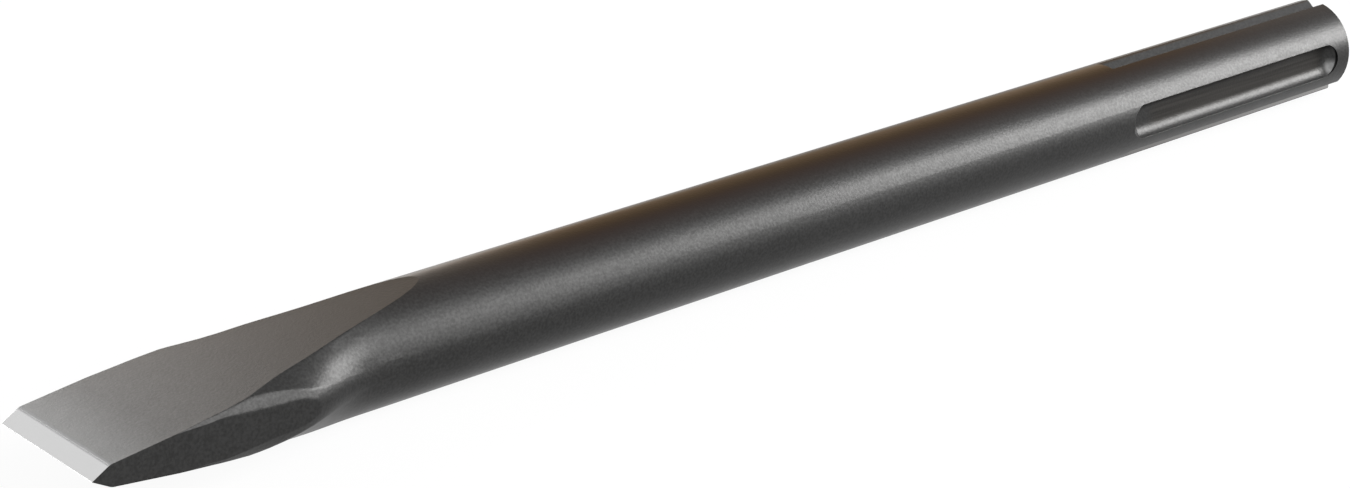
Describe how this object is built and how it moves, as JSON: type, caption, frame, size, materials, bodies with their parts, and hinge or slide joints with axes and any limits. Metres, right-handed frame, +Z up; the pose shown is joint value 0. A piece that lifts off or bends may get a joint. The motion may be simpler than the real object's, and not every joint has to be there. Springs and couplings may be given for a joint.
{
  "type": "narrow flat chisel",
  "caption": "Forged steel flat chisel for a demolition hammer: round bar drawn out to a flat blade with a ground edge, and a grooved round shank that locks in the tool holder.",
  "frame": {"origin": "centre of the striking face, on the bar's axis, where the grooved shank begins", "axes": "+X along the bar from the striking face to the cutting edge, +Y across the blade, along the cutting edge, +Z up, square to the blade and through the wide open groove"},
  "size_m": [0.28, 0.025, 0.018],
  "materials": {
    "forged_steel": "dark phosphated forged tool steel, fine satin grain, with the cutting edge ground bright"
  },
  "bodies": {
    "root": {"flat_chisel": "forged_steel"}
  },
  "joints": []
}
